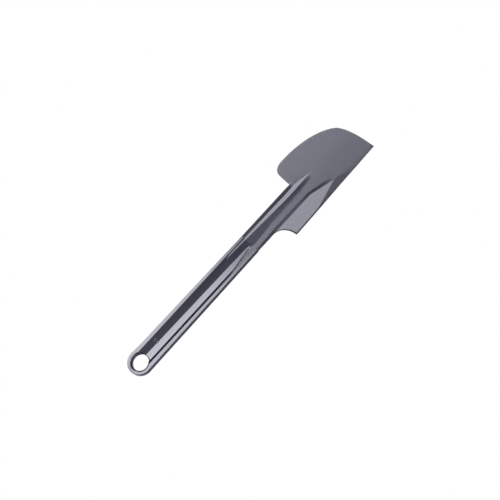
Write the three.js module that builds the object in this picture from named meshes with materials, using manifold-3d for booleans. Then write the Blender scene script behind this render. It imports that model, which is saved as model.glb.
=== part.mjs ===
// Ink knife: a fluted plastic handle with a hanging hole, and a flexible blade moulded over its tang.
// Millimetres. +X runs from the hanging hole to the tip, +Z up. Both faces are alike about z = 0.
// Everything is laid out from the centre of the hanging hole, and the whole is set on its base at the end.
import * as THREE from 'three';
import { mergeVertices } from 'three/addons/utils/BufferGeometryUtils.js';
import Module from 'manifold-3d';

const wasm = await Module();
wasm.setup();

// ---- driving dimensions -------------------------------------------------------------------------
const gap = 0.3; // clearance between the two mouldings

const ringRadius = 13.8;
const holeRadius = 9.05; // the throat of the hanging hole
const holeMouthRadius = 10.7;
const holeThroatHalf = 1.75; // half the height of the straight throat

const seamX = 166.5; // where the handle stops and the blade's neck starts
const buttHalfWidth = 13.75;
const neckHalfWidth = 12.1;
const rimZ = 2.6; // half the handle's thickness
const neckRimZ = 2.3; // the same on the neck's upper edge
const edgeRound = 0.4;
const channelHalf = 9.15; // half the width between the rims
const floorHalf = 6.2; // half the width of the channel's floor
const floorEdgeZ = 1.2;
const floorMiddleZ = 0.65;
const floorLineY = 0.6; // the floor's lowest line
const rampX = 128; // from here to the seam the floor climbs to the neck

const prongTipY = -7.9; // two prongs of the blade run back into the channel, one on each face
const prongRootY = -3.0;
const prongBaseZ = 0.75;
const prongTopZ = 2.2;

const tangEndX = 240;
const tangMiddleY = -3.2;
const tangHalfWidth = 4.4;
const tangHalfZ = 1.0;
const keyRadius = 2.3;
const keyXs = [183, 203, 223];

const lobeX = 238.9; // the lobe's square back edge
const lobeTopY = 36.95;
const tip = { x: 326.2, y: -28.45 };
const heel = { x: 205.5, y: -31.55 };
const heelArcX = 188; // where the heel's arc leaves the neck
const heelArcPulls = [198.6, -12.4, 204.6, -20.6];
const tipPulls = [324.8, -11.0, 322.0, 7.0];
const shoulder = { x: 315.3, y: 16.6 }; // where the lobe's top turns into the tip's edge
const lobeTopPulls = [302.4, 30.5, 275.5, 37.8];
const lobeCorner = { x: 249.5, y: 26.5 }; // where the lobe's rounded corner starts and ends
const lobeCornerPulls = [241.8, 36.3, 238.9, 32.0];

const webZ = 1.4; // half thickness of the web beside the end of the rib
const webX = 250;
const webSlopeX = -0.006;
const webSlopeTop = 0.012; // rise of the surface towards the lobe
const webSlopeBottom = 0.02; // fall of the surface towards the straight edge
const coreZ = 2.0; // half thickness of the rib's broad top
const crestZ = 2.6; // half thickness along the rib's crest
const crestStart = { x: 142, y: 6.97 }; // the crest slants from here to crestEnd, then runs straight
const crestEnd = { x: 226, y: 2.95 };
const grooveY = 8.05;
const grooveZ = 1.5;
const ridgeY = 10.6;
const coreEndY = -2.5; // where the rib's broad top starts to rise to the crest
const flankTopY = -9.6;
const flankFootY = -12.3;
const flankFootZ = 0.6;
const fanX = 245; // from here the flank slants towards the facet's point
const lobeBlendX = [234, 246]; // the neck's upper edge melts into the lobe
const lowRows = [-33, -26.5, -21.5]; // rows across the blade, out past its edges
const highRows = [13, 24, 38];
const ribFadeX = 215; // the rib starts to sink into the web
const ribEndX = 274;
const facetEndY = -21.2; // the heel facet ends in a point at (ribEndX, facetEndY)
const facetBackX = 238.6; // where the edge bevel starts on the straight edge
const edgeZ = 0.3; // half thickness of the straight edge
const handleXs = [0, 30, 60, 90, rampX, 138, 148, 158, seamX];
const neckXs = [172, 180, 190, 205];
const ribXs = [ribFadeX, 225, 234, 238, 242, 246, 252, 258, 265, ribEndX];
const tipXs = [285, 300, 315, 330];

// ---- solids -------------------------------------------------------------------------------------
function solidFrom(geometry) {
  const bare = geometry.clone();
  bare.deleteAttribute('normal');
  bare.deleteAttribute('uv');
  const merged = mergeVertices(bare, 1e-4);
  const mesh = new wasm.Mesh({
    numProp: 3,
    vertProperties: new Float32Array(merged.attributes.position.array),
    triVerts: new Uint32Array(merged.index.array),
  });
  return new wasm.Manifold(mesh);
}

function meshFrom(name, solid, material) {
  const { vertProperties, triVerts } = solid.getMesh();
  const geometry = new THREE.BufferGeometry();
  geometry.setAttribute('position', new THREE.BufferAttribute(vertProperties, 3));
  geometry.setIndex(new THREE.BufferAttribute(triVerts, 1));
  geometry.computeVertexNormals();
  const mesh = new THREE.Mesh(geometry, material);
  mesh.name = name;
  return mesh;
}

// A flat outline made into a plate between two heights.
function plate(shape, lowZ, highZ, curveSegments = 12) {
  const geometry = new THREE.ExtrudeGeometry(shape, {
    depth: highZ - lowZ,
    bevelEnabled: false,
    curveSegments,
  });
  return solidFrom(geometry.translate(0, 0, lowZ));
}

function box(lowX, highX, lowY, highY, lowZ, highZ) {
  const geometry = new THREE.BoxGeometry(highX - lowX, highY - lowY, highZ - lowZ);
  return solidFrom(geometry.translate((lowX + highX) / 2, (lowY + highY) / 2, (lowZ + highZ) / 2));
}

// A body of revolution about the Z axis through (x, y), from [radius, z] pairs.
function turned(profile, x, y, segments) {
  const points = profile.map(([radius, z]) => new THREE.Vector2(radius, z));
  const geometry = new THREE.LatheGeometry(points, segments).rotateX(Math.PI / 2);
  return solidFrom(geometry.translate(x, y, 0));
}

// A body whose two faces follow one height field. Each station is a row of [x, y, z] from -Y to +Y.
function relief(stations) {
  const rows = stations.length;
  const columns = stations[0].length;
  const positions = [];
  for (const side of [1, -1]) {
    for (const row of stations) {
      for (const [x, y, z] of row) positions.push(x, y, side * z);
    }
  }
  const at = (row, column, under) => under * rows * columns + row * columns + column;
  const triangles = [];
  const quad = (a, b, c, d) => triangles.push(a, b, c, a, c, d);
  for (let r = 0; r < rows - 1; r += 1) {
    for (let c = 0; c < columns - 1; c += 1) {
      quad(at(r, c, 0), at(r + 1, c, 0), at(r + 1, c + 1, 0), at(r, c + 1, 0));
      quad(at(r, c, 1), at(r, c + 1, 1), at(r + 1, c + 1, 1), at(r + 1, c, 1));
    }
    const last = columns - 1;
    quad(at(r, 0, 0), at(r, 0, 1), at(r + 1, 0, 1), at(r + 1, 0, 0));
    quad(at(r, last, 0), at(r + 1, last, 0), at(r + 1, last, 1), at(r, last, 1));
  }
  for (let c = 0; c < columns - 1; c += 1) {
    const last = rows - 1;
    quad(at(0, c, 0), at(0, c + 1, 0), at(0, c + 1, 1), at(0, c, 1));
    quad(at(last, c, 0), at(last, c, 1), at(last, c + 1, 1), at(last, c + 1, 0));
  }
  const geometry = new THREE.BufferGeometry();
  geometry.setAttribute('position', new THREE.Float32BufferAttribute(positions, 3));
  geometry.setIndex(triangles);
  return solidFrom(geometry);
}

// ---- heights ------------------------------------------------------------------------------------
const mix = THREE.MathUtils.lerp;
const smooth = THREE.MathUtils.smoothstep;

function halfWidth(x) {
  return mix(buttHalfWidth, neckHalfWidth, Math.min(Math.max(x, 0) / seamX, 1));
}

// The handle's section at x: rounded rims, sloping walls and a dished floor that climbs near the seam.
function handleSection(x) {
  const wide = halfWidth(x);
  const climb = smooth(x, rampX, seamX);
  const edge = mix(floorEdgeZ, coreZ - 0.1, climb);
  const middle = mix(floorMiddleZ, coreZ - 0.4, climb);
  const side = [
    [wide, rimZ - edgeRound],
    [wide - 0.3 * edgeRound, rimZ - 0.3 * edgeRound],
    [wide - edgeRound, rimZ],
    [channelHalf, rimZ],
    [floorHalf, edge],
    [floorHalf / 2, mix(middle, edge, 0.25)],
  ];
  const low = side.map(([y, z]) => [x, -y, z]);
  const high = side.map(([y, z]) => [x, y, z]).reverse();
  return [...low, [x, floorLineY, middle], ...high];
}

function webHeight(x, y) {
  const slopeY = y > 0 ? webSlopeTop : webSlopeBottom;
  return webZ + webSlopeX * (x - webX) + slopeY * y;
}

// The bevel along the straight edge: thick at the heel, even from the facet's point to the tip.
function bevelHeight(x, y) {
  const edgeY = mix(heel.y, tip.y, (x - heel.x) / (tip.x - heel.x));
  const pointZ = webHeight(ribEndX, facetEndY);
  const pointDistance = facetEndY - mix(heel.y, tip.y, (ribEndX - heel.x) / (tip.x - heel.x));
  const slope = (pointZ - edgeZ) / pointDistance;
  const backSlope = (webHeight(facetBackX, heel.y) - edgeZ) / (ribEndX - facetBackX);
  return edgeZ + slope * (y - edgeY) + backSlope * Math.max(ribEndX - x, 0);
}

// The blade's section at x: web, heel facet, rib with its flanks, crest and groove, rim and lobe.
function bladeSection(x) {
  const fade = 1 - smooth(x, ribFadeX, ribEndX);
  const fan = Math.min(Math.max(x - fanX, 0) / (ribEndX - fanX), 1);
  const topY = mix(flankTopY, facetEndY + 0.5, fan);
  const footY = mix(flankFootY, facetEndY, fan);
  const slant = Math.min((x - crestStart.x) / (crestEnd.x - crestStart.x), 1);
  const crestY = mix(crestStart.y, crestEnd.y, slant);
  const lowY = mix(grooveY, crestY + 1, smooth(x, fanX, ribEndX));
  const rimFade = 1 - smooth(x, ...lobeBlendX);
  const web = (y) => Math.min(webHeight(x, y), bevelHeight(x, y));
  const lift = (y, z) => [x, y, mix(web(y), z, fade)];
  const rim = (y, z) => [x, y, mix(webHeight(x, y), z, rimFade)];
  return [
    ...lowRows.map((y) => [x, y, web(y)]),
    [x, footY, x < ribEndX ? Math.min(web(footY), flankFootZ) : web(footY)],
    lift(topY, coreZ - 0.1),
    lift(coreEndY, coreZ),
    lift(crestY, crestZ),
    rim(lowY, grooveZ),
    rim(ridgeY, neckRimZ),
    rim(highRows[0], neckRimZ - 0.2),
    ...highRows.slice(1).map((y) => [x, y, webHeight(x, y)]),
  ];
}

// ---- outlines -----------------------------------------------------------------------------------
function bladeOutline(startX) {
  const shape = new THREE.Shape();
  shape.moveTo(startX, neckHalfWidth);
  shape.lineTo(startX, -neckHalfWidth);
  shape.lineTo(heelArcX, -neckHalfWidth);
  shape.bezierCurveTo(...heelArcPulls, heel.x, heel.y);
  shape.lineTo(tip.x, tip.y);
  shape.bezierCurveTo(...tipPulls, shoulder.x, shoulder.y);
  shape.bezierCurveTo(...lobeTopPulls, lobeCorner.x, lobeTopY);
  shape.bezierCurveTo(...lobeCornerPulls, lobeX, lobeCorner.y);
  shape.lineTo(lobeX, neckHalfWidth);
  shape.closePath();
  return shape;
}

// The plan of a prong, or of its pocket when it is grown by the gap.
function prongOutline(grow) {
  const shape = new THREE.Shape();
  shape.moveTo(rampX - grow, prongTipY);
  shape.lineTo(seamX + 1, -channelHalf - grow);
  shape.lineTo(seamX + 1, prongRootY + grow);
  const bend = { x: mix(rampX, seamX, 0.6), y: mix(prongTipY, prongRootY, 0.45) + grow };
  shape.quadraticCurveTo(bend.x, bend.y, rampX, prongTipY + grow);
  shape.closePath();
  return shape;
}

function tangOutline(grow) {
  const low = tangMiddleY - tangHalfWidth - grow;
  const high = tangMiddleY + tangHalfWidth + grow;
  const shape = new THREE.Shape();
  shape.moveTo(seamX - 3, low);
  shape.lineTo(tangEndX - tangHalfWidth, low);
  shape.absarc(tangEndX - tangHalfWidth, tangMiddleY, tangHalfWidth + grow, -Math.PI / 2, Math.PI / 2);
  shape.lineTo(seamX - 3, high);
  shape.closePath();
  return shape;
}

// ---- pieces -------------------------------------------------------------------------------------
function buildHandle() {
  const stations = handleXs.map(handleSection);
  const end = turned(
    [
      [0, -rimZ],
      [ringRadius - edgeRound, -rimZ],
      [ringRadius - 0.3 * edgeRound, -rimZ + 0.3 * edgeRound],
      [ringRadius, -rimZ + edgeRound],
      [ringRadius, rimZ - edgeRound],
      [ringRadius - 0.3 * edgeRound, rimZ - 0.3 * edgeRound],
      [ringRadius - edgeRound, rimZ],
      [0, rimZ],
    ],
    0,
    0,
    72,
  ).intersect(box(-20, 1, -20, 20, -10, 10));
  const hole = turned(
    [
      [0, -10],
      [holeMouthRadius, -10],
      [holeMouthRadius, -rimZ],
      [holeRadius, -holeThroatHalf],
      [holeRadius, holeThroatHalf],
      [holeMouthRadius, rimZ],
      [holeMouthRadius, 10],
      [0, 10],
    ],
    0,
    0,
    72,
  );
  const pocket = prongOutline(gap);
  let handle = relief(stations).add(end).subtract(hole);
  handle = handle.subtract(plate(pocket, prongBaseZ - gap, 10));
  handle = handle.subtract(plate(pocket, -10, gap - prongBaseZ));
  handle = handle.add(plate(tangOutline(0), -tangHalfZ, tangHalfZ));
  for (const x of keyXs) {
    const keyHole = [[0, -5], [keyRadius, -5], [keyRadius, 5], [0, 5]];
    handle = handle.subtract(turned(keyHole, x, tangMiddleY, 24));
  }
  return handle;
}

function buildBlade() {
  const startX = seamX + gap;
  const hollow = plate(tangOutline(gap), -tangHalfZ - gap, tangHalfZ + gap);
  const stations = [startX, ...neckXs, ...ribXs, ...tipXs];
  let blade = relief(stations.map(bladeSection)).intersect(plate(bladeOutline(startX), -10, 10));
  const prong = prongOutline(0);
  const prongs = plate(prong, prongBaseZ, prongTopZ).add(plate(prong, -prongTopZ, -prongBaseZ));
  blade = blade.add(prongs).subtract(hollow);
  for (const x of keyXs) {
    const plugRadius = keyRadius - gap;
    const reach = tangHalfZ + 0.6;
    const plug = [[0, -reach], [plugRadius, -reach], [plugRadius, reach], [0, reach]];
    blade = blade.add(turned(plug, x, tangMiddleY, 24));
  }
  return blade;
}

const handleMaterial = new THREE.MeshStandardMaterial({ color: 0x34343e, roughness: 0.18, metalness: 0 });
const bladeMaterial = new THREE.MeshStandardMaterial({ color: 0x53525c, roughness: 0.45, metalness: 0 });

const knife = new THREE.Group();
knife.add(meshFrom('handle', buildHandle(), handleMaterial));
knife.add(meshFrom('blade', buildBlade(), bladeMaterial));

// The row's origin is the middle of the knife's box, at its base.
const extent = new THREE.Box3().setFromObject(knife);
const middle = extent.getCenter(new THREE.Vector3());
knife.position.set(-middle.x, -middle.y, -extent.min.z);

const group = new THREE.Group();
group.add(knife);

export default group;
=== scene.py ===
"""Ink knife: a glossy fluted handle with a hanging hole, and a satin blade moulded over its tang.

Shapes are laid out in millimetres from the centre of the hanging hole, as in the CAD model, and each mesh
is then moved to the frame's metres. Both faces of the knife are alike about its middle plane, except for
the ring mark, which is on the upper face only.
"""
import math

import bmesh
import bpy
import numpy as np
from mathutils import Matrix, Vector


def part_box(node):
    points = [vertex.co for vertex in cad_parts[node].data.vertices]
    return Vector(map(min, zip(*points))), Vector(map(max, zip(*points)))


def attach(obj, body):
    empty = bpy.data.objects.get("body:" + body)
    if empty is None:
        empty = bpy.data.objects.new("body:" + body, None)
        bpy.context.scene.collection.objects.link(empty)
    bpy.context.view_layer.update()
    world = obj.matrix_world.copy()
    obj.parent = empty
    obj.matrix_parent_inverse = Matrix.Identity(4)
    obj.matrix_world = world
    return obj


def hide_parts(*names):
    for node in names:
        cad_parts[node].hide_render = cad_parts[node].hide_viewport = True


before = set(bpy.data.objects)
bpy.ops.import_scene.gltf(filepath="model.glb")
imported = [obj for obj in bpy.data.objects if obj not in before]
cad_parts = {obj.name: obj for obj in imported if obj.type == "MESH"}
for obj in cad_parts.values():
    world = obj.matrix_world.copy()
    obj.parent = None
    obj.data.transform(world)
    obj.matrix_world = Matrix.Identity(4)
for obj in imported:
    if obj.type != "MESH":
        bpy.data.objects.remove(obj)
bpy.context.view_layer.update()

# ---- driving dimensions, in millimetres ----------------------------------------------------------
MM = 0.001
RING_RADIUS = 13.8
RING_BULGE = 0.6  # extra on the ring's +Y side
HOLE_RADIUS = 9.05
MOUTH_RADIUS = 10.7  # the hole where it opens into the ring's face
THROAT_HALF = 1.75  # half the height of the hole's straight throat
MOUTH_ROUND = 0.25
MARK_X = 27.5  # centre of the ring mark on the channel's floor
MARK_Y = 3.4
MARK_RADIUS = 2.6
MARK_WIDTH = 1.8
MARK_HEIGHT = 0.26
MARK_CREST_HALF = 0.05
HOLE_CHAMFER = 0.7  # on the channel floors' edges round the hole
HOLE_CHAMFER_X = 5.5  # the chamfer is on the hole's +X side, from here
HOLE_LIP_Z = 0.1  # it meets the throat this far from the middle plane

SEAM_X = 166.5  # where the handle stops and the blade's neck starts
SEAM_GAP = 0.01  # between the two mouldings there
BUTT_HALF_WIDTH = 13.75
NECK_HALF_WIDTH = 12.1
RING_BLEND = 10.0  # length over which the sides swell out to the ring
RIM_Z = 2.6  # half the handle's thickness
NECK_RIM_Z = 2.45
RIM_DROP_X = 90.0  # from here the rims sink slightly towards the neck
EDGE_ROUND = 0.4
CHANNEL_HALF = 9.15  # half the width between the rims
CHANNEL_LOW = 9.4  # the same on the -Y side
FLOOR_HALF = 6.05
FLOOR_EDGE_Z = 1.2
FLOOR_MIDDLE_Z = 0.65
FLOOR_LINE_START_Y = 1.6  # the floor's lowest line drifts across the channel
FLOOR_LINE_END_Y = -0.5
FLOOR_LINE_SWING = 0.9  # and moves this much further where the floor climbs
FLOOR_BEND = 0.35  # height of the floor half way to its -Y edge, as a share from the middle to the edge
RIM_FALL = 0.08  # each rim's top is this much lower on its +Y side
RAMP_X = 128.0  # the prongs' points
CLIMB_X = 159.0  # from here to the seam the floor climbs
FLOOR_CLIMB = 1.2
FLOOR_CLIMB_SHARES = (0.35, 0.8)  # of that climb, at the floor's -Y edge and half way to it
CREST_X = 134.0  # here the rib's crest comes out of the channel's wall
CREST_RISE = 14.0  # the crest has risen clear of the wall over this length
STRIP_TURN = 6.0  # the wall beside it has turned into the strip over this one
CREST_START_Y = 7.45
CREST_STRAIGHT_X = 226.0  # from here the crest runs along the knife
CREST_END_Y = 2.95
SLOPE_START_Y = -4.0  # the foot of the slope that climbs to the crest, at the seam and along the rib
SLOPE_END_Y = -2.5
SLOPE_LEAD = 0.6  # the slope starts this far to the -Y side of that
SLOPE_RUN = 1.4  # and has climbed by SLOPE_SHARE this far to the +Y side
SLOPE_SHARE = 0.2

PRONG_BASE_Z = 0.75  # the prongs reach down to here, on each side of the middle plane
PRONG_ROOT_Y = -3.2  # where the top of a prong's inner side meets the seam
PRONG_SLOPE_WIDTHS = (2.4, 1.3)  # of the prong's inner side, at its point and at the seam

TANG_END_X = 236.0
TANG_MIDDLE_Y = -3.4
TANG_HALF_WIDTH = 4.2
TANG_HALF_Z = 1.0
TANG_GAP = 0.15  # clearance round the tang and its plugs
KEY_RADIUS = 2.3  # of the tang's keying holes
KEY_XS = (183.0, 203.0, 223.0)

LOBE_X = 238.9  # the lobe's square back edge
LOBE_TOP_Y = 36.95
LOBE_CORNER_X = 249.5  # where the lobe's rounded corner ends
LOBE_CORNER_Y = 26.5  # and where it starts
LOBE_CORNER_PULLS = ((LOBE_X, 32.0), (241.8, 36.3))
LOBE_TOP_PULLS = ((275.5, 37.8), (302.4, 30.5))
SHOULDER = (315.3, 16.6)  # where the lobe's top turns into the tip's edge
TIP = (326.2, -28.45)
TIP_PULLS = ((324.8, -11.0), (322.0, 7.0))
HEEL = (205.5, -31.55)
HEEL_ARC_X = 188.0  # where the heel's arc leaves the neck
HEEL_ARC_PULLS = ((198.6, -12.4), (204.6, -20.6))

WEB_Z = 1.4  # half thickness of the web at WEB_X
WEB_X = 250.0
WEB_SLOPE_X = -0.006
WEB_SLOPE_TOP = 0.015  # rise of the surface towards the lobe
WEB_SLOPE_BOTTOM = 0.02  # fall of the surface towards the straight edge
FACET_SLOPE = 0.05  # the heel facet rises towards the straight edge
FACET_SLOPE_X = 0.002  # and a little towards the heel
CORE_Z = 2.0  # half thickness of the rib's broad top
CORE_SEAM_Z = 1.5  # the rib's broad top and crest are lower where they meet the handle
CREST_SEAM_Z = 2.45
CREST_Z = 2.6
GROOVE_Y = 8.05
RIDGE_Y = 10.6  # the neck's upper edge rises to full height from here
STRIP_SLOPE = 0.215  # of the face between the crest and the groove
STRIP_FADE_X = 243.0  # from here the crest sinks, and the strip beside it narrows to a point
STRIP_END_X = 262.0
STRIP_END_Y = 3.7
RIB_FADE_X = 215.0  # the rib starts to sink into the web
FAN_X = 245.0  # from here the flank slants towards the facet's point
RIB_END_X = 274.0
FACET_END_Y = -21.2  # the heel facet ends in a point at (RIB_END_X, FACET_END_Y)
FACET_BACK_X = 238.6  # where the edge bevel starts on the straight edge
BEVEL_END_X = 305.0  # where the bevel has run out
BEVEL_BLENDS = (0.02, 0.2)  # height over which its corner is rounded, at the rib's end and past it
BEVEL_BLEND_LENGTH = 20.0
EDGE_Z = 0.3  # half thickness of the straight edge

STEP = 0.9  # length of one mesh cell along the knife
WELD = 0.002  # patches are joined where their points are nearer than this
SLIVER = 0.0002  # and points that a boolean leaves nearer than this become one
RING_ROWS = 73  # half way round the ring
HOLE_ROWS = 61  # up the hole
SEGMENTS = 128  # round the hole
SMALL_SEGMENTS = 48
TOOL_HALF_Z = 3.0  # tall enough for a cutting tool to pass through the knife
TOOL_REACH = 20.0
OUTSIDE_Z = 9.0  # well above the knife
MOST_ROUNDED = 0.3  # share of a facet's width that a crease's rounding may take


# ---- place in the frame --------------------------------------------------------------------------
handle_low, handle_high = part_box("handle")
HOLE_CENTRE = Vector((
    handle_low.x + RING_RADIUS * MM,
    (handle_low.y + handle_high.y) / 2,
    (handle_low.z + handle_high.z) / 2,
))
TO_FRAME = Matrix.Translation(HOLE_CENTRE) @ Matrix.Scale(MM, 4)


# ---- small maths ---------------------------------------------------------------------------------
def mix(a, b, t):
    return a + (b - a) * t


def share_between(x, start, end):
    """0 before start, 1 after end, straight between."""
    return min(max((x - start) / (end - start), 0.0), 1.0)


def ramp(x, start, end):
    """0 before start, 1 after end, smooth between."""
    t = share_between(x, start, end)
    return t * t * (3 - 2 * t)


def bezier(points, count):
    """count + 1 points along a Bezier curve."""
    t = np.linspace(0, 1, count + 1)[:, None]
    degree = len(points) - 1
    total = 0
    for i, point in enumerate(points):
        total = total + math.comb(degree, i) * (1 - t) ** (degree - i) * t**i * np.array(point, float)
    return total


def path_lengths(path):
    """The length of a path up to each of its points."""
    return np.concatenate([[0], np.cumsum(np.linalg.norm(np.diff(path, axis=0), axis=1))])


def length_shares(path):
    lengths = path_lengths(path)
    return lengths / lengths[-1]


def along(path, fractions):
    """Points at the given fractions of a path's length."""
    path = np.asarray(path, float)
    lengths = path_lengths(path)
    at = np.asarray(fractions) * lengths[-1]
    return np.stack([np.interp(at, lengths, path[:, i]) for i in range(path.shape[1])], axis=1)


def creased_row(features, counts, radius):
    """Points across a row: evenly spaced between the creases, each crease rounded over a short length."""
    points = np.array(features, float)
    row = [points[0]]
    before = None
    for i, (start, end) in enumerate(zip(points, points[1:])):
        reach = min(radius / np.linalg.norm(end - start), MOST_ROUNDED)
        near = start if i == 0 else mix(start, end, reach)
        far = end if i == len(counts) - 1 else mix(start, end, 1 - reach)
        if i > 0:
            row.append((before + 2 * start + near) / 4)
            row.append(near)
        row += [mix(near, far, k / counts[i]) for k in range(1, counts[i] + 1)]
        before = far
    return np.array(row)


# ---- outlines ------------------------------------------------------------------------------------
def half_width(x, bulge=0.0):
    """Half the handle's width, which tapers to the neck and swells out to the ring."""
    taper = mix(BUTT_HALF_WIDTH, NECK_HALF_WIDTH, min(x / SEAM_X, 1.0))
    return taper + (RING_RADIUS + bulge - BUTT_HALF_WIDTH) * math.exp(-((x / RING_BLEND) ** 2))


def rim_height(x):
    return mix(RIM_Z, NECK_RIM_Z, ramp(x, RIM_DROP_X, SEAM_X))


def heel_arc():
    """From the neck's lower side round to the heel."""
    return bezier([(HEEL_ARC_X, -NECK_HALF_WIDTH), *HEEL_ARC_PULLS, HEEL], 60)


def tip_edge():
    """From the sharp corner up to the shoulder."""
    return bezier([TIP, *TIP_PULLS, SHOULDER], 80)


def lobe_edge():
    """From the top of the lobe's square back, round its corner and over the top to the shoulder."""
    corner_end = (LOBE_CORNER_X, LOBE_TOP_Y)
    corner = bezier([(LOBE_X, LOBE_CORNER_Y), *LOBE_CORNER_PULLS, corner_end], 120)
    top = bezier([corner_end, *LOBE_TOP_PULLS, SHOULDER], 120)
    return np.concatenate([corner, top[1:]])


# ---- heights -------------------------------------------------------------------------------------
def web_height(x, y):
    """Half the thickness of the blade's web."""
    slope_y = WEB_SLOPE_TOP if y > 0 else WEB_SLOPE_BOTTOM
    return WEB_Z + WEB_SLOPE_X * (x - WEB_X) + slope_y * y


def crest_line(x):
    """The y of the rib's crest, which leaves the channel's wall and slants to the middle."""
    return mix(CREST_START_Y, CREST_END_Y, share_between(x, CREST_X, CREST_STRAIGHT_X))


def straight_edge_y(x):
    return mix(HEEL[1], TIP[1], (x - HEEL[0]) / (TIP[0] - HEEL[0]))


FACET_END_Z = web_height(RIB_END_X, FACET_END_Y)
BEVEL_SLOPE = (FACET_END_Z - EDGE_Z) / (FACET_END_Y - straight_edge_y(RIB_END_X))


def facet_height(x, y):
    """The flat beside the rib, from the heel to its point at the rib's end."""
    return FACET_END_Z + FACET_SLOPE * (FACET_END_Y - y) + FACET_SLOPE_X * (RIB_END_X - x)


def bevel_height(x, y):
    """The bevel along the straight edge, which runs out against the heel facet and near the tip."""
    edge_y = straight_edge_y(x)
    edge_z = mix(EDGE_Z, web_height(x, edge_y), ramp(x, RIB_END_X, BEVEL_END_X))
    back_z = facet_height(FACET_BACK_X, straight_edge_y(FACET_BACK_X))
    back_slope = (back_z - EDGE_Z) / (RIB_END_X - FACET_BACK_X)
    return edge_z + BEVEL_SLOPE * (y - edge_y) + back_slope * max(RIB_END_X - x, 0.0)


def lower_wing_height(x, y):
    """The lower of the flat and the bevel, which blend into each other past the rib's end."""
    bevel = bevel_height(x, y)
    if x < RIB_END_X:
        return min(facet_height(x, y), bevel)
    blend = mix(*BEVEL_BLENDS, ramp(x, RIB_END_X, RIB_END_X + BEVEL_BLEND_LENGTH))
    lap = max(blend - abs(web_height(x, y) - bevel), 0.0) / blend
    return min(web_height(x, y), bevel) - lap * lap * blend / 4


# ---- mesh building -------------------------------------------------------------------------------
def no_bevel(point):
    return 0.0


def two_faced(name, patches, edge_weight=no_bevel):
    """One closed mesh: the patches make the upper face, the lower face mirrors it, and a wall joins them.

    edge_weight gives the bevel weight of the wall's edges at a point of the upper face.
    """
    mesh = bmesh.new()
    weights = mesh.edges.layers.float.new("bevel_weight_edge")
    for points in patches:
        rows, columns = points.shape[:2]
        verts = [[mesh.verts.new(point) for point in row] for row in points]
        for r in range(rows - 1):
            for c in range(columns - 1):
                mesh.faces.new((verts[r][c], verts[r + 1][c], verts[r + 1][c + 1], verts[r][c + 1]))
    bmesh.ops.remove_doubles(mesh, verts=mesh.verts, dist=WELD)
    rim = [
        (loop.vert, loop.link_loop_next.vert)
        for edge in mesh.edges if edge.is_boundary
        for loop in edge.link_loops
    ]
    copied = bmesh.ops.duplicate(mesh, geom=mesh.verts[:] + mesh.edges[:] + mesh.faces[:])
    under = copied["vert_map"]
    new_verts = [item for item in copied["geom"] if isinstance(item, bmesh.types.BMVert)]
    new_faces = [item for item in copied["geom"] if isinstance(item, bmesh.types.BMFace)]
    for vert in new_verts:
        vert.co.z = -vert.co.z
    bmesh.ops.reverse_faces(mesh, faces=new_faces)
    for start, end in rim:
        mesh.faces.new((end, start, under[start], under[end]))
        weight = edge_weight((start.co + end.co) / 2)
        for a, b in ((start, end), (under[start], under[end])):
            mesh.edges.get((a, b))[weights] = weight
    return new_object(name, mesh)


def new_object(name, mesh):
    data = bpy.data.meshes.new(name)
    mesh.to_mesh(data)
    mesh.free()
    piece = bpy.data.objects.new(name, data)
    bpy.context.scene.collection.objects.link(piece)
    return piece


def rectangle(low_x, high_x, low_y, high_y):
    """Four corners, counter-clockwise."""
    return [(low_x, low_y), (high_x, low_y), (high_x, high_y), (low_x, high_y)]


def prism(outline, low_z, high_z):
    """A plate with the given outline, counter-clockwise."""
    mesh = bmesh.new()
    low = [mesh.verts.new((x, y, low_z)) for x, y in outline]
    high = [mesh.verts.new((x, y, high_z)) for x, y in outline]
    mesh.faces.new(high)
    mesh.faces.new(low[::-1])
    for i in range(len(outline)):
        j = (i + 1) % len(outline)
        mesh.faces.new((low[i], low[j], high[j], high[i]))
    return new_object("tool", mesh)


def turned(profile, x, y, segments):
    """A body of revolution about the Z axis through (x, y), from (radius, z) pairs that rise."""
    mesh = bmesh.new()
    rings = []
    for radius, z in profile:
        angles = [2 * math.pi * i / segments for i in range(segments)]
        circle = [(x + radius * math.cos(a), y + radius * math.sin(a), z) for a in angles]
        rings.append([mesh.verts.new(point) for point in circle])
    for low, high in zip(rings, rings[1:]):
        for i in range(segments):
            j = (i + 1) % segments
            mesh.faces.new((low[i], low[j], high[j], high[i]))
    mesh.faces.new(rings[0][::-1])
    mesh.faces.new(rings[-1])
    return new_object("tool", mesh)


def combine(piece, tool, operation):
    """Applies a boolean with a tool that is then thrown away."""
    modifier = piece.modifiers.new(operation, "BOOLEAN")
    modifier.operation = operation
    modifier.solver = "MANIFOLD"
    modifier.object = tool
    apply_modifiers(piece)
    bpy.data.objects.remove(tool)


def apply_modifiers(piece):
    depsgraph = bpy.context.evaluated_depsgraph_get()
    data = bpy.data.meshes.new_from_object(piece.evaluated_get(depsgraph))
    piece.modifiers.clear()
    piece.data = data


def weld(piece):
    """Joins points that the booleans left in one place, and drops what then has no face."""
    mesh = bmesh.new()
    mesh.from_mesh(piece.data)
    bmesh.ops.remove_doubles(mesh, verts=mesh.verts, dist=SLIVER)
    loose = [vert for vert in mesh.verts if not vert.link_faces]
    bmesh.ops.delete(mesh, geom=loose, context="VERTS")
    mesh.to_mesh(piece.data)
    mesh.free()


def finish_piece(piece, node, material, sharp_degrees):
    """Shades the piece, moves it into the frame, and lets it stand for its CAD node."""
    weld(piece)
    piece.data.transform(TO_FRAME)
    piece.data.shade_smooth()
    piece.data.set_sharp_from_angle(angle=math.radians(sharp_degrees))
    piece.data.materials.clear()
    piece.data.materials.append(material)
    weighted = piece.modifiers.new("flats_stay_flat", "WEIGHTED_NORMAL")
    weighted.weight = 80
    weighted.keep_sharp = True
    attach(piece, "root")
    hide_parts(node)


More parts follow.
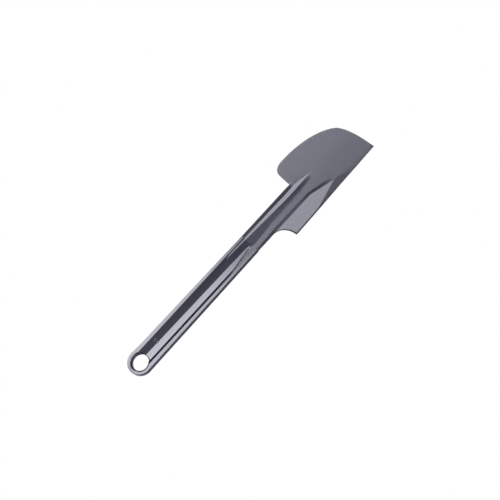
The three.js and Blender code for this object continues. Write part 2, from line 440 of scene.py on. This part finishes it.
# ---- handle --------------------------------------------------------------------------------------
HANDLE_COUNTS = (1, 1, 1, 3, 2, 1, 1, 6, 6, 6, 6, 1, 1, 2, 3, 1, 1, 1)  # cells between creases
HANDLE_CREASE = 0.15
WALL_STEPS = (0.65, 0.3)  # shares of the way up the channel's wall
STRIP_START = 0.22  # the share at which the rib's crest comes out of the wall
STRIP_START_WIDTH = 0.1  # and the strip's first width, as a share too
TANG_ROOT = 2.0  # the tang starts this far inside the handle


def rim_points(wide, inside, outer_z, inner_z):
    """(y, z) from the outside of a rim to the channel, on the +Y side."""
    return [
        (wide, outer_z - EDGE_ROUND),
        (wide - 0.08 * EDGE_ROUND, outer_z - 0.6 * EDGE_ROUND),
        (wide - 0.3 * EDGE_ROUND, outer_z - 0.28 * EDGE_ROUND),
        (wide - EDGE_ROUND, outer_z),
        (inside, inner_z),
    ]


def channel_floor(x):
    """(y, z) of the channel's floor at x: its -Y edge, a point half way, and its lowest line."""
    climb = ramp(x, CLIMB_X, SEAM_X)
    lift = FLOOR_CLIMB * climb
    edge_share, middle_share = FLOOR_CLIMB_SHARES
    line_y = mix(FLOOR_LINE_START_Y, FLOOR_LINE_END_Y, x / SEAM_X) - FLOOR_LINE_SWING * climb
    return [
        (-FLOOR_HALF, FLOOR_EDGE_Z + edge_share * lift),
        (-FLOOR_HALF / 2, mix(FLOOR_MIDDLE_Z, FLOOR_EDGE_Z, FLOOR_BEND) + middle_share * lift),
        (line_y, FLOOR_MIDDLE_Z + lift),
    ]


def handle_features(x):
    """(y, z) of each crease across the handle at x, from -Y to +Y."""
    rim = rim_height(x)
    show = ramp(x, CREST_X, CREST_X + CREST_RISE)
    high_rim = rim_points(half_width(x, RING_BULGE), CHANNEL_HALF, rim - RIM_FALL, rim)
    low_rim = [(-y, z) for y, z in rim_points(half_width(x), CHANNEL_LOW, rim, rim - RIM_FALL)]
    floor = channel_floor(x)
    line_y, line_z = floor[-1]

    def up_wall(channel_side, share):
        return mix(FLOOR_HALF, channel_side, share), mix(FLOOR_EDGE_Z, rim, share)

    low_wall = [(-y, z) for y, z in (up_wall(CHANNEL_LOW, share) for share in WALL_STEPS)]
    wall_y, wall_z = up_wall(CHANNEL_HALF, STRIP_START)
    groove_wall_y = up_wall(CHANNEL_HALF, STRIP_START + STRIP_START_WIDTH)[0]
    crest_y = mix(wall_y, crest_line(x), show)
    crest_z = mix(wall_z, CREST_SEAM_Z, show)
    groove_y = mix(groove_wall_y, GROOVE_Y, show)
    wall_slope = (rim - FLOOR_EDGE_Z) / (CHANNEL_HALF - FLOOR_HALF)
    slope = mix(-wall_slope, STRIP_SLOPE, ramp(x, CREST_X, CREST_X + STRIP_TURN))

    def up_floor(y, z, share):
        """A point of the channel's floor, which moves onto the line up to the crest as the crest shows."""
        return mix(y, mix(line_y, crest_y, share), show), mix(z, mix(line_z, crest_z, share), show)

    high_floor = [
        up_floor(FLOOR_HALF / 2, floor[1][1], 0.4),
        up_floor(FLOOR_HALF, FLOOR_EDGE_Z, 0.8),
        (crest_y, crest_z),
        (groove_y, crest_z - slope * (groove_y - crest_y)),
    ]
    return low_rim + low_wall + floor + high_floor + high_rim[::-1]


def handle_row(x):
    row = creased_row(handle_features(x), HANDLE_COUNTS, HANDLE_CREASE)
    return np.column_stack([np.full(len(row), x), row])


def hole_radius(z):
    """The hanging hole's radius: a straight throat, then a slope up to the ring's face."""
    mouth = (MOUTH_RADIUS - HOLE_RADIUS) * max(abs(z) - THROAT_HALF, 0.0) / (RIM_Z - THROAT_HALF)
    return HOLE_RADIUS + mouth + MOUTH_ROUND * ramp(abs(z), RIM_Z - MOUTH_ROUND, RIM_Z + MOUTH_ROUND)


def tang_outline(grow):
    """The tongue inside the blade's rib, counter-clockwise, grown by a clearance."""
    radius = TANG_HALF_WIDTH + grow
    middle_x = TANG_END_X - TANG_HALF_WIDTH
    angles = np.linspace(-math.pi / 2, math.pi / 2, 17)
    nose = [(middle_x + radius * math.cos(a), TANG_MIDDLE_Y + radius * math.sin(a)) for a in angles]
    back_x = SEAM_X - TANG_ROOT
    return [(back_x, TANG_MIDDLE_Y - radius)] + nose + [(back_x, TANG_MIDDLE_Y + radius)]


def prong_side(x):
    """The y of the top and of the foot of a prong's inner side, which swings from the rim to the middle."""
    share = (x - RAMP_X) / (SEAM_X - RAMP_X)
    top_y = mix(-CHANNEL_LOW, PRONG_ROOT_Y, share)
    return top_y, top_y + mix(*PRONG_SLOPE_WIDTHS, share)


def prong_pocket():
    """The plan of the pocket that a prong lies in, counter-clockwise."""
    xs = np.linspace(RAMP_X, SEAM_X, 30)
    inner = [(x, prong_side(x)[1]) for x in xs]
    return [(RAMP_X, -CHANNEL_LOW), (SEAM_X + 1, -CHANNEL_LOW), (SEAM_X + 1, inner[-1][1])] + inner[::-1]


def ring_mark():
    """A plain raised ring on the channel's sloping floor, where the mould carries its mark."""
    inner = MARK_RADIUS - MARK_WIDTH
    crest = MARK_RADIUS - MARK_WIDTH / 2
    side = [(MARK_RADIUS, -0.3), (MARK_RADIUS, 0), (crest + MARK_CREST_HALF, MARK_HEIGHT)]
    dish_rim = crest - MARK_CREST_HALF
    dish = [(inner, -1), (inner, 0), (dish_rim, MARK_HEIGHT), (dish_rim, 1)]
    mark = turned(side, 0, 0, SMALL_SEGMENTS)
    combine(mark, turned(dish, 0, 0, SMALL_SEGMENTS), "DIFFERENCE")
    slope = (FLOOR_EDGE_Z - FLOOR_MIDDLE_Z) / (FLOOR_HALF - FLOOR_LINE_START_Y)
    floor_z = FLOOR_MIDDLE_Z + slope * (MARK_Y - FLOOR_LINE_START_Y)
    lean = Matrix.Rotation(math.atan(slope), 4, "X")
    mark.data.transform(Matrix.Translation((MARK_X, MARK_Y, floor_z)) @ lean)
    return mark


def floor_chamfers():
    """The cones that break the channel floors' edges round the +X side of the hanging hole."""
    plan = rectangle(HOLE_CHAMFER_X, TOOL_REACH, -TOOL_REACH, TOOL_REACH)
    top_z = FLOOR_EDGE_Z + 0.1
    wide = HOLE_RADIUS + HOLE_CHAMFER * (top_z - HOLE_LIP_Z) / (FLOOR_MIDDLE_Z - HOLE_LIP_Z)
    upper = [(HOLE_RADIUS, HOLE_LIP_Z), (wide, top_z)]
    lower = [(radius, -z) for radius, z in reversed(upper)]
    cones = []
    for profile in (upper, lower):
        cone = turned(profile, 0, 0, SEGMENTS)
        combine(cone, prism(plan, -TOOL_HALF_Z, TOOL_HALF_Z), "INTERSECT")
        cones.append(cone)
    return cones


def ring_patch(row):
    """Sweeps the handle's first row half way round the hole."""
    angles = np.linspace(0, math.pi, RING_ROWS)
    middle = len(row) // 2
    low = row[middle::-1]
    high = row[middle:]
    turned_rows = []
    for angle in angles:
        share = ramp(angle, math.pi / 3, math.pi)
        reach = mix(np.abs(low[:, 1]), np.abs(high[:, 1]), share)
        height = mix(low[:, 2], high[:, 2], share)
        side = -np.cos(angle) * reach
        if angle in (0, math.pi):
            side = (low if angle == 0 else high)[:, 1]
        turned_rows.append(np.column_stack([-np.sin(angle) * reach, side, height]))
    return np.array(turned_rows)


def build_handle():
    """The body and ring, cut by the hole and the prongs' pockets, with the mark and the tang added."""
    stations = np.linspace(0, SEAM_X, round(SEAM_X / STEP) + 1)
    body = np.array([handle_row(x) for x in stations])
    ring = ring_patch(body[0])
    handle = two_faced("handle_moulding", [body, ring])
    heights = np.linspace(-RIM_Z - 1, RIM_Z + 1, HOLE_ROWS)
    combine(handle, turned([(hole_radius(z), z) for z in heights], 0, 0, SEGMENTS), "DIFFERENCE")
    for cone in floor_chamfers():
        combine(handle, cone, "DIFFERENCE")
    combine(handle, ring_mark(), "UNION")
    pocket_z = PRONG_BASE_Z - TANG_GAP
    for low_z, high_z in ((pocket_z, OUTSIDE_Z), (-OUTSIDE_Z, -pocket_z)):
        combine(handle, prism(prong_pocket(), low_z, high_z), "DIFFERENCE")
    combine(handle, prism(tang_outline(0), -TANG_HALF_Z, TANG_HALF_Z), "UNION")
    for x in KEY_XS:
        profile = [(KEY_RADIUS, -TOOL_HALF_Z), (KEY_RADIUS, TOOL_HALF_Z)]
        key_hole = turned(profile, x, TANG_MIDDLE_Y, SMALL_SEGMENTS)
        combine(handle, key_hole, "DIFFERENCE")
    return handle


# ---- blade ---------------------------------------------------------------------------------------
RIB_COUNTS = (3, 8, 4, 4, 6, 3, 2, 1, 1)  # cells between creases
RIB_CREASE = 0.2
SHANK_X = 205.0  # the neck's section has settled by here
FLANK_TOP_Y = -9.9
FLANK_FOOT_Y = -12.3
FLANK_END_Y = FACET_END_Y + 4.5
NECK_FOOT_Z = 1.35
FOOT_SETTLES = (HEEL_ARC_X - 3, HEEL_ARC_X + 6)  # between these the flank's foot meets the heel facet
RIM_MELTS = (LOBE_X - 6, LOBE_X + 3)  # between these the neck's upper edge melts into the lobe
CREST_TURN_X = FAN_X - 10  # from here the crest turns towards the strip's end
GROOVE_LEAST = 0.1  # width that the strip keeps where it runs out
CORE_LEAN = 0.08  # the rib's broad top is this much lower at the flank
RIDGE_DROP = 0.2
NECK_EDGE = ((0.6, 0.0), (0.3, 0.02), (0.0, 0.1))  # its rounding: in from the side, and down from the top
TIP_LOW_Y = -21.5  # where the rib's two outer lines meet the tip's edge
TIP_HIGH_Y = 10.0
BLADE_ROUND = 0.4
BLADE_ROUND_SHARE = 0.55  # of the half thickness, on thin edges
HEEL_CHAMFER = 0.8  # slope of the chamfer along the heel's arc
HEEL_CHAMFER_EDGE = 0.15  # its height at the arc, above EDGE_Z
HEEL_CHAMFER_FADE = 1.5  # it is full this far below the flank's foot
END_GAP = 0.05  # an edge's own points are dropped when they are this near a new end
HEEL_SHARES = np.linspace(0, 1, 28)  # places of the points across the heel facet and bevel
LOBE_SHARES = np.linspace(0, 1, 22)  # and across the lobe

PRONG_GAP = 0.04  # sideways, between a prong and its pocket
PRONG_TOP_GAP = 0.06
PRONG_TOP_DROP = 0.05  # its top lies this far below what is beside it
PRONG_SINK = 0.03  # its foot lies this far below the channel's floor
PRONG_RUN_ON = (1.5, 0, -0.3)  # how it goes on into the neck


def arc_leave_x():
    """Where the heel's arc has swung out to the foot of the rib's flank."""
    arc = heel_arc()
    return float(np.interp(-FLANK_FOOT_Y, -arc[:, 1], arc[:, 0]))


def rib_features(x):
    """(y, z) of each crease across the neck and rib at x, from -Y to +Y."""
    arc = heel_arc()
    core_fade = 1 - ramp(x, RIB_FADE_X, RIB_END_X)
    neck = ramp(x, SEAM_X, SHANK_X)
    rim_fade = 1 - ramp(x, *RIM_MELTS)
    strip_end = share_between(x, STRIP_FADE_X, STRIP_END_X)

    def lift(y, z, share):
        """A point that stands out of the web by a share of its full height."""
        return y, mix(web_height(x, y), z, share)

    foot_y = max(float(np.interp(x, arc[:, 0], arc[:, 1])), FLANK_FOOT_Y)
    foot_y = mix(foot_y, FACET_END_Y, share_between(x, FAN_X, RIB_END_X))
    foot_z = mix(NECK_FOOT_Z, facet_height(x, foot_y), ramp(x, *FOOT_SETTLES))
    top_y = mix(FLANK_TOP_Y, FLANK_END_Y, share_between(x, FAN_X, RIB_END_X))
    crest_y = mix(crest_line(x), STRIP_END_Y, ramp(x, CREST_TURN_X, STRIP_END_X))
    core_z = mix(CORE_SEAM_Z, CORE_Z, neck)
    crest_z = mix(mix(CREST_SEAM_Z, CREST_Z, neck), web_height(x, crest_y), strip_end)
    crest_over_web = max(crest_z - web_height(x, crest_y), 0.0)
    groove_y = min(GROOVE_Y, crest_y + crest_over_web / STRIP_SLOPE + GROOVE_LEAST)
    groove_z = crest_z - STRIP_SLOPE * (groove_y - crest_y - GROOVE_LEAST)
    slope_y = mix(SLOPE_START_Y, SLOPE_END_Y, neck)
    edge = [lift(NECK_HALF_WIDTH - inset, NECK_RIM_Z - drop, rim_fade) for inset, drop in NECK_EDGE]
    return [
        (foot_y, foot_z),
        lift(top_y, core_z - CORE_LEAN * neck, core_fade),
        lift(slope_y - SLOPE_LEAD, core_z, core_fade),
        lift(slope_y + SLOPE_RUN, mix(core_z, crest_z, SLOPE_SHARE), core_fade),
        (crest_y, crest_z),
        (groove_y, groove_z),
        lift(RIDGE_Y, NECK_RIM_Z - RIDGE_DROP, rim_fade),
    ] + edge


def rib_stations():
    """The x of each row: even steps, with rows exactly where an outline leaves the neck."""
    marks = (SEAM_X + SEAM_GAP, arc_leave_x(), LOBE_X, RIB_END_X)
    parts = [np.linspace(a, b, round((b - a) / STEP) + 1)[:-1] for a, b in zip(marks, marks[1:])]
    return np.concatenate(parts + [[RIB_END_X]])


def rib_patch():
    """The neck and rib, and on from the rib's end to the tip's edge. Rows run along the knife."""
    rows = []
    for x in rib_stations():
        row = creased_row(rib_features(x), RIB_COUNTS, RIB_CREASE)
        rows.append(np.column_stack([np.full(len(row), x), row]))
    rib = np.array(rows)
    last = rib[-1]
    share = (last[:, 1] - last[0, 1]) / (last[-1, 1] - last[0, 1])
    end_y = mix(TIP_LOW_Y, TIP_HIGH_Y, share)
    edge = tip_edge()
    end_x = np.interp(end_y, edge[:, 1], edge[:, 0])
    count = round((TIP[0] - RIB_END_X) / STEP)
    beyond = []
    for i in range(1, count + 1):
        xs = mix(last[:, 0], end_x, i / count)
        ys = mix(last[:, 1], end_y, i / count)
        beyond.append([(x, y, web_height(x, y)) for x, y in zip(xs, ys)])
    return np.concatenate([rib, np.array(beyond)])


def fill_between(low, high, left, right, shares):
    """A grid inside four edges (a Coons patch).

    low and high run along the knife, and left and right run across it.
    """
    f = length_shares(high)[:, None, None]
    g = np.asarray(shares)[None, :, None]
    ruled = (1 - g) * low[:, None] + g * high[:, None] + (1 - f) * left[None] + f * right[None]
    corners = (1 - f) * ((1 - g) * left[0] + g * left[-1]) + f * ((1 - g) * right[0] + g * right[-1])
    return ruled - corners


def part_of(path, low_y, high_y):
    """The stretch of an edge between two heights in y; the edge rises in y."""
    inside = path[(path[:, 1] > low_y + END_GAP) & (path[:, 1] < high_y - END_GAP)]
    ends = [(np.interp(y, path[:, 1], path[:, 0]), y) for y in (low_y, high_y)]
    return np.concatenate([[ends[0]], inside, [ends[1]]])


def heel_patch(rib):
    """The heel facet and the edge bevel, between the rib's foot and the straight edge."""
    first = int(np.argmin(np.abs(rib[:, 0, 0] - arc_leave_x())))
    high = rib[first:, 0, :2]
    arc = heel_arc()
    left = along(part_of(arc[::-1], HEEL[1], high[0, 1]), HEEL_SHARES)
    right = along(part_of(tip_edge(), TIP[1], high[-1, 1]), HEEL_SHARES)
    low = along([HEEL, TIP], length_shares(high))
    plan = fill_between(low, high, left, right, HEEL_SHARES)
    heights = np.array([[lower_wing_height(x, y) for x, y in row] for row in plan])
    for r, row in enumerate(plan):
        for c, (x, y) in enumerate(row):
            from_arc = float(np.min(np.hypot(arc[:, 0] - x, arc[:, 1] - y)))
            chamfer = EDGE_Z + HEEL_CHAMFER_EDGE + HEEL_CHAMFER * from_arc
            limit = mix(OUTSIDE_Z, chamfer, ramp(FLANK_FOOT_Y - y, 0.0, HEEL_CHAMFER_FADE))
            heights[r, c] = min(heights[r, c], limit)
    heights[:, -1] = rib[first:, 0, 2]
    return np.dstack([plan, heights])


def lobe_patch(rib):
    """The lobe, between the rib's upper side and the curved edge."""
    first = int(np.argmin(np.abs(rib[:, -1, 0] - LOBE_X)))
    low = rib[first:, -1, :2]
    left = along([low[0], (LOBE_X, LOBE_CORNER_Y)], LOBE_SHARES)
    right = along(part_of(tip_edge(), low[-1, 1], SHOULDER[1]), LOBE_SHARES)
    high = along(lobe_edge(), length_shares(low))
    plan = fill_between(low, high, left, right, LOBE_SHARES)
    heights = np.array([[web_height(x, y) for x, y in row] for row in plan])
    heights[:, 0] = rib[first:, -1, 2]
    return np.dstack([plan, heights])


def build_prongs():
    """The two tapered prongs that run back from the neck into the handle's channels."""
    rows = []
    for x in np.linspace(RAMP_X, SEAM_X, 45):
        top_y, foot_y = prong_side(x)
        top_z = mix(rim_height(x), CORE_SEAM_Z, ramp(x, RAMP_X, SEAM_X)) - PRONG_TOP_DROP
        floor_ys, floor_zs = zip(*channel_floor(x))
        features = [
            (-CHANNEL_LOW + PRONG_GAP, top_z),
            (top_y + PRONG_TOP_GAP, top_z),
            (foot_y - PRONG_GAP, float(np.interp(foot_y, floor_ys, floor_zs)) - PRONG_SINK),
        ]
        row = creased_row(features, (8, 6), HANDLE_CREASE)
        rows.append(np.column_stack([np.full(len(row), x), row]))
    rows.append(rows[-1] + np.array(PRONG_RUN_ON))
    prongs = two_faced("tool", [np.array(rows)])
    middle = rectangle(RAMP_X - 1, SEAM_X + 3, -12, 0)
    combine(prongs, prism(middle, -PRONG_BASE_Z, PRONG_BASE_Z), "DIFFERENCE")
    return prongs


def blade_edge_weight(point):
    """Thin edges get a smaller bevel than thick ones, and the seam none."""
    if point.x < SEAM_X + 2 * SEAM_GAP:
        return 0.0
    return min(1.0, BLADE_ROUND_SHARE * point.z / BLADE_ROUND)


def build_blade():
    """The rib, heel and lobe with their edges rounded, the prongs, the tang's pocket and its plugs."""
    rib = rib_patch()
    blade = two_faced("blade_moulding", [rib, heel_patch(rib), lobe_patch(rib)], blade_edge_weight)
    bevel = blade.modifiers.new("edges", "BEVEL")
    bevel.limit_method = "WEIGHT"
    bevel.width = BLADE_ROUND
    bevel.segments = 3
    bevel.use_clamp_overlap = False
    apply_modifiers(blade)
    combine(blade, build_prongs(), "UNION")
    pocket_half_z = TANG_HALF_Z + TANG_GAP
    combine(blade, prism(tang_outline(TANG_GAP), -pocket_half_z, pocket_half_z), "DIFFERENCE")
    plug_radius = KEY_RADIUS - TANG_GAP
    reach = TANG_HALF_Z + 2 * TANG_GAP
    for x in KEY_XS:
        plug = turned([(plug_radius, -reach), (plug_radius, reach)], x, TANG_MIDDLE_Y, SMALL_SEGMENTS)
        combine(blade, plug, "UNION")
    return blade


# ---- materials -----------------------------------------------------------------------------------
DULL_FROM_X = 112.0  # the handle's gloss falls off from here to the seam
GLOSS_DARK = (0.0045, 0.0045, 0.007)
GLOSS_SEAM = (0.019, 0.019, 0.0255)
SATIN_COLOURS = ((0.0105, 0.0113, 0.0155), (0.0132, 0.0126, 0.0188))
PAPER_COLOURS = ((0.82, 0.82, 0.82), (0.86, 0.86, 0.86))


class Nodes:
    """Short calls for building one material's node tree."""

    def __init__(self, name):
        self.material = bpy.data.materials.new(name)
        self.material.use_nodes = True
        self.tree = self.material.node_tree
        self.shader = self.tree.nodes["Principled BSDF"]

    def add(self, kind, settings=(), inputs=()):
        node = self.tree.nodes.new(kind)
        for key, value in dict(settings).items():
            setattr(node, key, value)
        for key, value in dict(inputs).items():
            self.put(value, node.inputs[key])
        return node

    def put(self, value, socket):
        if isinstance(value, bpy.types.NodeSocket):
            self.tree.links.new(value, socket)
        else:
            socket.default_value = value

    def noise(self, scale, detail=2.0, stretch=(1, 1, 1)):
        """Noise in object space; scale is in cells per metre."""
        place = self.add("ShaderNodeTexCoord")
        mapping = self.add("ShaderNodeMapping", inputs={"Vector": place.outputs["Object"], "Scale": stretch})
        node = self.add(
            "ShaderNodeTexNoise",
            inputs={"Vector": mapping.outputs["Vector"], "Scale": scale, "Detail": detail},
        )
        return node.outputs["Fac"]

    def along_knife(self, start, end):
        """Rises from 0 to 1 between two x along the knife, in millimetres from the hanging hole."""
        place = self.add("ShaderNodeTexCoord")
        split = self.add("ShaderNodeSeparateXYZ", inputs={"Vector": place.outputs["Object"]})
        ends = [(TO_FRAME @ Vector((x, 0, 0))).x for x in (start, end)]
        inputs = {"Value": split.outputs["X"], "From Min": ends[0], "From Max": ends[1]}
        return self.add("ShaderNodeMapRange", inputs=inputs).outputs["Result"]

    def between(self, factor, low, high):
        node = self.add("ShaderNodeMapRange", inputs={"Value": factor, "To Min": low, "To Max": high})
        return node.outputs["Result"]

    def tint(self, factor, low, high):
        """A colour between two; sockets 6, 7 and 2 are the Mix node's colour sockets."""
        node = self.add("ShaderNodeMix", settings={"data_type": "RGBA"})
        self.put(factor, node.inputs["Factor"])
        self.put((*low, 1), node.inputs[6])
        self.put((*high, 1), node.inputs[7])
        return node.outputs[2]

    def bump(self, height, distance, strength):
        inputs = {"Height": height, "Distance": distance, "Strength": strength}
        return self.add("ShaderNodeBump", inputs=inputs).outputs["Normal"]


def gloss_plastic():
    """Polished dark navy-grey plastic: faint flow streaks and a slight ripple, duller towards the seam."""
    nodes = Nodes("gloss_plastic")
    streaks = nodes.between(nodes.noise(260.0, 3.0, (0.06, 1, 1)), 0.0, 0.2)
    near_seam = nodes.along_knife(DULL_FROM_X, SEAM_X)
    colour = nodes.tint(nodes.between(near_seam, streaks, 1.0), GLOSS_DARK, GLOSS_SEAM)
    shine = nodes.between(near_seam, nodes.between(nodes.along_knife(0, SEAM_X), 0.6, 0.42), 0.22)
    ripple = nodes.noise(90.0, 1.0, (0.3, 1, 1))
    nodes.put(colour, nodes.shader.inputs["Base Color"])
    nodes.put(nodes.between(nodes.noise(700.0, 4.0), 0.1, 0.16), nodes.shader.inputs["Roughness"])
    nodes.put(nodes.bump(ripple, 0.0004, 0.1), nodes.shader.inputs["Normal"])
    nodes.put(shine, nodes.shader.inputs["Specular IOR Level"])
    nodes.shader.inputs["IOR"].default_value = 1.5
    return nodes.material


def satin_plastic():
    """Satin dark grey plastic: a fine sparked mould texture with faint clouding."""
    nodes = Nodes("satin_plastic")
    clouds = nodes.noise(35.0, 3.0)
    colour = nodes.tint(clouds, *SATIN_COLOURS)
    grain = nodes.noise(4200.0, 3.0)
    nodes.put(colour, nodes.shader.inputs["Base Color"])
    nodes.put(nodes.between(nodes.noise(900.0, 3.0), 0.22, 0.3), nodes.shader.inputs["Roughness"])
    nodes.put(nodes.bump(grain, 0.00004, 0.3), nodes.shader.inputs["Normal"])
    nodes.shader.inputs["IOR"].default_value = 1.42
    return nodes.material


def floor_paper():
    """White paper, lit and reflected as usual, that the camera sees as even white without a shadow."""
    nodes = Nodes("floor_paper")
    colour = nodes.tint(nodes.noise(60.0, 4.0), *PAPER_COLOURS)
    nodes.put(colour, nodes.shader.inputs["Base Color"])
    nodes.shader.inputs["Roughness"].default_value = 0.9
    nodes.shader.inputs["Specular IOR Level"].default_value = 0.1
    lit = nodes.add("ShaderNodeEmission", inputs={"Strength": 1.0})
    rays = nodes.add("ShaderNodeLightPath")
    both = nodes.add("ShaderNodeMixShader", inputs={"Fac": rays.outputs["Is Camera Ray"]})
    nodes.put(nodes.shader.outputs["BSDF"], both.inputs[1])
    nodes.put(lit.outputs["Emission"], both.inputs[2])
    nodes.put(both.outputs["Shader"], nodes.tree.nodes["Material Output"].inputs["Surface"])
    return nodes.material


# ---- studio --------------------------------------------------------------------------------------
AIM_X = 161.7  # millimetres from the hanging hole, on the knife's middle plane
AIM_Y = -4.65
FIELD = 0.515  # metres across the picture at the knife
LENS = 200.0
TILT = 25.5  # degrees off straight down, towards -Y
ROLL = 47.4  # degrees that the knife rises from left to right
SENSOR = 36.0

PANEL_DISTANCE = 3.0  # of the light panels from the knife, in metres
PANEL_LENGTH = 3.0
SOFTBOX_LOW = 25.2  # degrees off straight up, towards +Y, of a panel's two long edges
SOFTBOX_HIGH = 58.0
SOFTBOX_RADIANCE = 11.0
SOFTBOX_COLOUR = (0.97, 0.98, 1.09)
FILL_LOW = -75.0
FILL_HIGH = SOFTBOX_LOW - 0.5
FILL_RADIANCE = 0.75
FILL_COLOUR = (0.85, 0.88, 1.15)
KICKER_LOW = -44.0
KICKER_HIGH = -30.0
KICKER_RADIANCE = 2.6
KICKER_DISTANCE = 2.0  # in front of the fill
ROOM_COLOUR = (0.8, 0.85, 1.0, 1.0)
ROOM_LIGHT = {"From Min": 0.6, "From Max": 0.85, "To Min": 0.3, "To Max": 0.1}  # by a direction's share of Y
FLOOR_HALF_SIZE = 4.0  # metres


def make_floor():
    mesh = bmesh.new()
    corners = rectangle(-FLOOR_HALF_SIZE, FLOOR_HALF_SIZE, -FLOOR_HALF_SIZE, FLOOR_HALF_SIZE)
    mesh.faces.new([mesh.verts.new((x, y, 0.0)) for x, y in corners])
    floor = new_object("floor", mesh)
    floor.data.materials.append(floor_paper())


def make_camera():
    aim = TO_FRAME @ Vector((AIM_X, AIM_Y, 0.0))
    tilt = math.radians(TILT)
    back = Vector((0.0, -math.sin(tilt), math.cos(tilt)))
    distance = FIELD / 2 / (SENSOR / 2 / LENS)
    camera = bpy.data.objects.new("camera", bpy.data.cameras.new("camera"))
    camera.data.lens = LENS
    camera.data.sensor_width = SENSOR
    turn = Matrix.Rotation(tilt, 4, "X") @ Matrix.Rotation(-math.radians(ROLL), 4, "Z")
    camera.matrix_world = Matrix.Translation(aim + back * distance) @ turn
    bpy.context.scene.collection.objects.link(camera)
    bpy.context.scene.camera = camera


def make_panel(name, low, high, radiance, colour, distance=PANEL_DISTANCE):
    """A light panel square to the knife between two angles off straight up, towards +Y."""
    aim = TO_FRAME @ Vector((AIM_X, 0.0, 0.0))
    middle = math.radians((low + high) / 2)
    height = 2 * distance * math.tan(math.radians((high - low) / 2))
    lamp = bpy.data.lights.new(name, "AREA")
    lamp.shape = "RECTANGLE"
    lamp.size = PANEL_LENGTH
    lamp.size_y = height
    lamp.energy = radiance * math.pi * PANEL_LENGTH * height
    lamp.color = colour
    panel = bpy.data.objects.new(name, lamp)
    toward = Vector((0.0, math.sin(middle), math.cos(middle)))
    panel.matrix_world = Matrix.Translation(aim + toward * distance) @ Matrix.Rotation(-middle, 4, "X")
    bpy.context.scene.collection.objects.link(panel)


def make_world():
    """A dim room, brighter overhead and towards the knife's two ends, for the views from the side."""
    world = bpy.data.worlds.new("studio")
    world.use_nodes = True
    tree = world.node_tree
    place = tree.nodes.new("ShaderNodeTexCoord")
    split = tree.nodes.new("ShaderNodeSeparateXYZ")
    across = tree.nodes.new("ShaderNodeMath")
    across.operation = "ABSOLUTE"
    strength = tree.nodes.new("ShaderNodeMapRange")
    tree.links.new(place.outputs["Generated"], split.inputs["Vector"])
    tree.links.new(split.outputs["Y"], across.inputs[0])
    tree.links.new(across.outputs["Value"], strength.inputs["Value"])
    for key, value in ROOM_LIGHT.items():
        strength.inputs[key].default_value = value
    background = tree.nodes["Background"]
    background.inputs["Color"].default_value = ROOM_COLOUR
    tree.links.new(strength.outputs["Result"], background.inputs["Strength"])
    bpy.context.scene.world = world
    bpy.context.scene.view_settings.view_transform = "Standard"


# ---- the knife in its studio ---------------------------------------------------------------------
make_camera()
make_floor()
make_panel("softbox", SOFTBOX_LOW, SOFTBOX_HIGH, SOFTBOX_RADIANCE, SOFTBOX_COLOUR)
make_panel("fill", FILL_LOW, FILL_HIGH, FILL_RADIANCE, FILL_COLOUR)
make_panel("kicker", KICKER_LOW, KICKER_HIGH, KICKER_RADIANCE, FILL_COLOUR, KICKER_DISTANCE)
make_world()
finish_piece(build_handle(), "handle", gloss_plastic(), sharp_degrees=35)
finish_piece(build_blade(), "blade", satin_plastic(), sharp_degrees=50)
